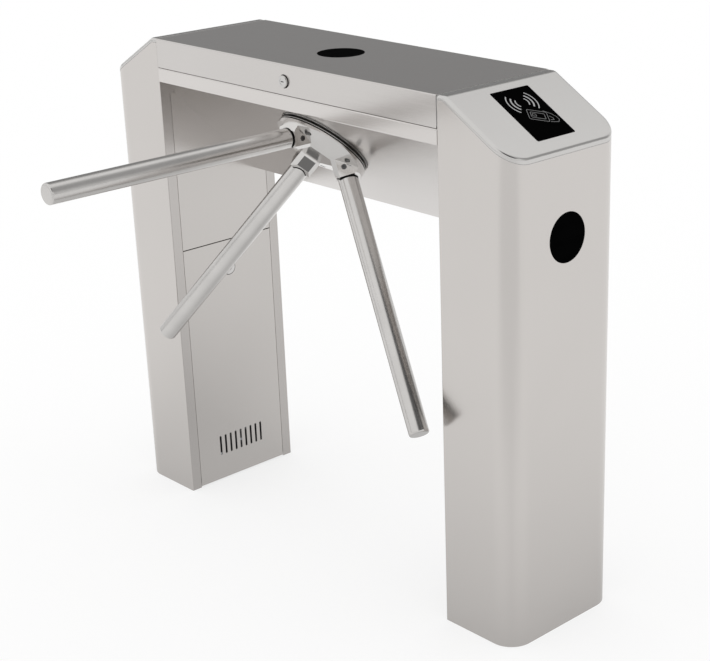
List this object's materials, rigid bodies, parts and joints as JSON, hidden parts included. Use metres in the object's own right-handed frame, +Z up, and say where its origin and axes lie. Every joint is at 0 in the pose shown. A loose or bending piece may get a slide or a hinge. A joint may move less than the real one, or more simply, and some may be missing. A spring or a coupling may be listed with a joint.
{
  "type": "tripod turnstile",
  "caption": "Bridge-type tripod turnstile: two sheet-steel legs joined by a lidded bridge, with a turning three-armed rotor on the slanted underside.",
  "frame": {"origin": "on the floor, midway between the two legs and between front and rear walls, which is the centre of the floor anchors", "axes": "+X along the bridge towards the right-hand leg seen from the arms' side, -Y towards the side that the arms reach out to, +Z up"},
  "size_m": [1.1406, 0.8002, 1.0003],
  "materials": {
    "body_steel": "fine satin brush",
    "polished_steel": "bright polished",
    "black_disc": "black coated",
    "black_pane": "gloss black pane",
    "lock_chrome": "bright plated",
    "zinc_steel": "zinc plated",
    "hinge_steel": "satin",
    "screw_steel": "dark oxide",
    "machined_steel": "machined",
    "housing_alloy": "cast and turned",
    "sensor_plastic": "moulded",
    "motor_black": "black enamel",
    "supply_case": "pressed sheet",
    "board_green": "solder mask",
    "reader_plastic": "moulded"
  },
  "bodies": {
    "cabinet": {"bearing_housing": "housing_alloy", "body_hinge_leaves": "hinge_steel", "bridge_body": "body_steel", "control_board": "board_green", "escutcheon": "polished_steel", "gear_motor": "motor_black", "left_base_plate": "zinc_steel", "left_bridge_end_plate": "zinc_steel", "left_card_reader": "reader_plastic", "left_end_light_board": "board_green", "left_end_window": "black_pane", "left_inner_panel": "body_steel", "left_leg_cap": "body_steel", "left_leg_shell": "body_steel", "left_reader_window": "black_pane", "lid_hinge_pins": "hinge_steel", "lock_solenoid": "motor_black", "mechanism_plate": "zinc_steel", "position_sensor": "sensor_plastic", "power_supply": "supply_case", "right_base_plate": "zinc_steel", "right_bridge_end_plate": "zinc_steel", "right_card_reader": "reader_plastic", "right_end_light_board": "board_green", "right_end_window": "black_pane", "right_inner_panel": "body_steel", "right_leg_cap": "body_steel", "right_leg_shell": "body_steel", "right_reader_window": "black_pane", "shaft_bearings": "machined_steel"},
    "tripod": {"rotor_head": "polished_steel", "rotor_disc": "black_disc", "head_screws": "screw_steel", "arm_screws": "screw_steel", "arm_tube_1": "polished_steel", "arm_tube_2": "polished_steel", "arm_tube_3": "polished_steel", "arm_end_caps": "polished_steel", "main_shaft": "machined_steel", "drive_gear": "machined_steel", "lock_wheel": "machined_steel", "sensor_disc": "sensor_plastic", "shaft_nut": "machined_steel"},
    "motor_pinion": {"drive_pinion": "machined_steel"},
    "locking_bolt": {"lock_bolt": "machined_steel"},
    "top_lid": {"lid": "body_steel", "lid_window": "black_pane", "lid_light_board": "board_green", "lid_hinge_leaves": "hinge_steel", "lid_lock_housing": "lock_chrome"},
    "lid_key": {"lid_lock_plug": "lock_chrome", "lid_lock_cam": "zinc_steel"},
    "right_door": {"right_access_door": "body_steel", "right_door_lock_housing": "lock_chrome"},
    "left_door": {"left_access_door": "body_steel", "left_door_lock_housing": "lock_chrome"},
    "right_door_key": {"right_door_lock_plug": "lock_chrome", "right_door_lock_cam": "zinc_steel"},
    "left_door_key": {"left_door_lock_plug": "lock_chrome", "left_door_lock_cam": "zinc_steel"}
  },
  "joints": [
    {"name": "tripod_spin", "type": "hinge", "parent": "cabinet", "child": "tripod", "pos_m": [0, -0.05381, 0.83421], "axis": [0, -0.7071, -0.7071], "continuous": true},
    {"name": "pinion_spin", "type": "hinge", "parent": "cabinet", "child": "motor_pinion", "pos_m": [0.08, -0.05381, 0.83421], "axis": [0, -0.7071, -0.7071], "continuous": true},
    {"name": "bolt_slide", "type": "slide", "parent": "cabinet", "child": "locking_bolt", "axis": [0, -0.7071, 0.7071], "range_m": [0, 0.01]},
    {"name": "lid_hinge", "type": "hinge", "parent": "cabinet", "child": "top_lid", "pos_m": [0, 0.143, 0.9422], "axis": [-1, 0, 0], "range_deg": [0, 90]},
    {"name": "lid_lock_turn", "type": "hinge", "parent": "top_lid", "child": "lid_key", "pos_m": [0, -0.14, 0.968], "axis": [0, -1, 0], "range_deg": [0, 90]},
    {"name": "right_door_tilt", "type": "hinge", "parent": "cabinet", "child": "right_door", "pos_m": [0.404, 0, 0.01], "axis": [0, -1, 0], "range_deg": [0, 30]},
    {"name": "left_door_tilt", "type": "hinge", "parent": "cabinet", "child": "left_door", "pos_m": [-0.404, 0, 0.01], "axis": [0, 1, 0], "range_deg": [0, 30]},
    {"name": "right_door_lock_turn", "type": "hinge", "parent": "right_door", "child": "right_door_key", "pos_m": [0.4, 0, 0.487], "axis": [1, 0, 0], "range_deg": [0, 90]},
    {"name": "left_door_lock_turn", "type": "hinge", "parent": "left_door", "child": "left_door_key", "pos_m": [-0.4, 0, 0.487], "axis": [1, 0, 0], "range_deg": [0, 90]}
  ],
  "couplings": [
    {"joint": "pinion_spin", "follows": "tripod_spin", "ratio": -3}
  ]
}
